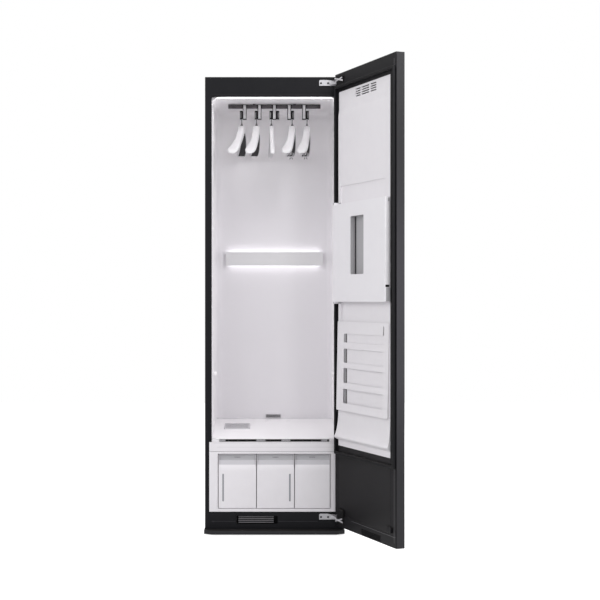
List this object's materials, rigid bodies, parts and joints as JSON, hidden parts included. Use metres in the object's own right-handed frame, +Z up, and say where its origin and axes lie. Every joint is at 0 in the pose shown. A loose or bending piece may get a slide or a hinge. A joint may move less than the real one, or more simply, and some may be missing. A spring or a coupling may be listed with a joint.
{
  "type": "clothes care steam cabinet",
  "caption": "Tall built-in steam cabinet for clothes: hinged door with trouser press, shaking hanger rail, water tanks and machine room.",
  "frame": {"origin": "centre of the casing's footprint, on the floor under its feet", "axes": "+Z up, +X to the right seen from the front, +Y to the back; the front faces -Y"},
  "size_m": [0.803, 1.1257, 1.96],
  "materials": {
    "black_steel": "satin",
    "frame_black": "satin",
    "white_plastic": "satin",
    "bay_plastic": "matte",
    "tank_plastic": "gloss",
    "dark_plastic": "matte",
    "rail_metal": "satin",
    "strap_grey": "satin",
    "galvanised": "satin",
    "light_lens": "satin",
    "steel": "satin",
    "seal_rubber": "matte",
    "foot_plastic": "matte",
    "compressor_black": "satin",
    "fins": "satin",
    "inner_plastic": "matte",
    "motor_metal": "satin",
    "board_green": "satin",
    "foam": "matte"
  },
  "bodies": {
    "cabinet": {"outer_casing": "black_steel", "rear_panel": "galvanised", "power_inlet": "dark_plastic", "base_pan": "galvanised", "levelling_feet": "foot_plastic", "plinth": "black_steel", "front_frame": "frame_black", "base_panel": "frame_black", "intake_slats": "frame_black", "chamber_liner": "white_plastic", "chamber_floor": "white_plastic", "floor_filter": "white_plastic", "air_grille": "white_plastic", "air_gutter": "dark_plastic", "ceiling_light": "light_lens", "light_bar": "strap_grey", "shelf_pegs": "white_plastic", "shaker_bracket": "steel", "shaker_motor": "motor_metal", "compressor": "compressor_black", "heat_exchangers": "fins", "blower_housing": "inner_plastic", "fan_motor": "motor_metal", "steam_generator": "motor_metal", "steam_hose": "seal_rubber", "water_pump": "inner_plastic", "control_board": "board_green", "module_frame": "white_plastic", "tank_bay": "bay_plastic", "hinge_plates": "steel", "hinge_screws": "steel"},
    "door": {"door_outer": "black_steel", "door_insulation": "foam", "door_frame": "frame_black", "door_liner": "white_plastic", "door_gasket": "seal_rubber", "door_lower_panel": "frame_black", "press_base": "inner_plastic", "trouser_guide": "white_plastic", "hinge_cups": "steel"},
    "press_cover": {"press_cover": "white_plastic"},
    "press_latch": {"press_latch": "strap_grey"},
    "rail": {"hanger_rail": "rail_metal", "hook_straps": "strap_grey", "hook_cheeks": "dark_plastic"},
    "crank": {"drive_crank": "steel"},
    "supply_drawer": {"supply_front": "white_plastic", "supply_tank": "tank_plastic"},
    "drain_drawer": {"drain_front": "white_plastic", "drain_tank": "tank_plastic"},
    "filter_drawer": {"filter_front_panel": "white_plastic", "filter_tray": "tank_plastic"},
    "fan": {"fan_wheel": "inner_plastic"},
    "hanger_1_set": {"hanger_1": "white_plastic"},
    "hanger_2_set": {"hanger_2": "white_plastic"},
    "hanger_3_set": {"hanger_3": "white_plastic"},
    "hanger_4_set": {"hanger_4": "white_plastic", "clip_bar_4": "steel"},
    "hanger_5_set": {"hanger_5": "white_plastic", "clip_bar_5": "steel"}
  },
  "joints": [
    {"name": "door_swing", "type": "hinge", "parent": "cabinet", "child": "door", "pos_m": [0.2827, -0.304, 1], "axis": [0, 0, -1], "range_deg": [0, 110.7]},
    {"name": "press_swing", "type": "hinge", "parent": "door", "child": "press_cover", "pos_m": [0.25412, -0.33586, 1.2], "axis": [0, 0, 1], "range_deg": [-90, 0]},
    {"name": "latch_turn", "type": "hinge", "parent": "press_cover", "child": "press_latch", "pos_m": [0.44011, -0.80757, 1.044], "axis": [0.3535, -0.9354, 0], "range_deg": [-90, 0]},
    {"name": "rail_shake", "type": "slide", "parent": "cabinet", "child": "rail", "axis": [1, 0, 0], "range_m": [-0.015, 0.015]},
    {"name": "crank_turn", "type": "hinge", "parent": "cabinet", "child": "crank", "pos_m": [0, 0.0125, 1.905], "axis": [0, 0, 1], "range_deg": [-62, 62]},
    {"name": "hanger_1_swing", "type": "hinge", "parent": "rail", "child": "hanger_1_set", "pos_m": [-0.1455, -0.0425, 1.824], "axis": [1, 0, 0], "range_deg": [-6, 6]},
    {"name": "hanger_2_swing", "type": "hinge", "parent": "rail", "child": "hanger_2_set", "pos_m": [-0.0795, -0.0425, 1.824], "axis": [1, 0, 0], "range_deg": [-6, 6]},
    {"name": "hanger_3_swing", "type": "hinge", "parent": "rail", "child": "hanger_3_set", "pos_m": [-0.0135, -0.0425, 1.824], "axis": [1, 0, 0], "range_deg": [-6, 6]},
    {"name": "hanger_4_swing", "type": "hinge", "parent": "rail", "child": "hanger_4_set", "pos_m": [0.0795, -0.0425, 1.824], "axis": [1, 0, 0], "range_deg": [-6, 6]},
    {"name": "hanger_5_swing", "type": "hinge", "parent": "rail", "child": "hanger_5_set", "pos_m": [0.1455, -0.0425, 1.824], "axis": [1, 0, 0], "range_deg": [-6, 6]},
    {"name": "supply_slide", "type": "slide", "parent": "cabinet", "child": "supply_drawer", "axis": [0, 1, 0], "range_m": [-0.2, 0]},
    {"name": "drain_slide", "type": "slide", "parent": "cabinet", "child": "drain_drawer", "axis": [0, 1, 0], "range_m": [-0.2, 0]},
    {"name": "filter_slide", "type": "slide", "parent": "cabinet", "child": "filter_drawer", "axis": [0, 1, 0], "range_m": [-0.2, 0]},
    {"name": "fan_spin", "type": "hinge", "parent": "cabinet", "child": "fan", "pos_m": [-0.15, 0.1225, 0.18], "axis": [0, 0, 1], "continuous": true}
  ],
  "couplings": [
    {"joint": "crank_turn", "follows": "rail_shake", "rad_per_m": 72}
  ]
}
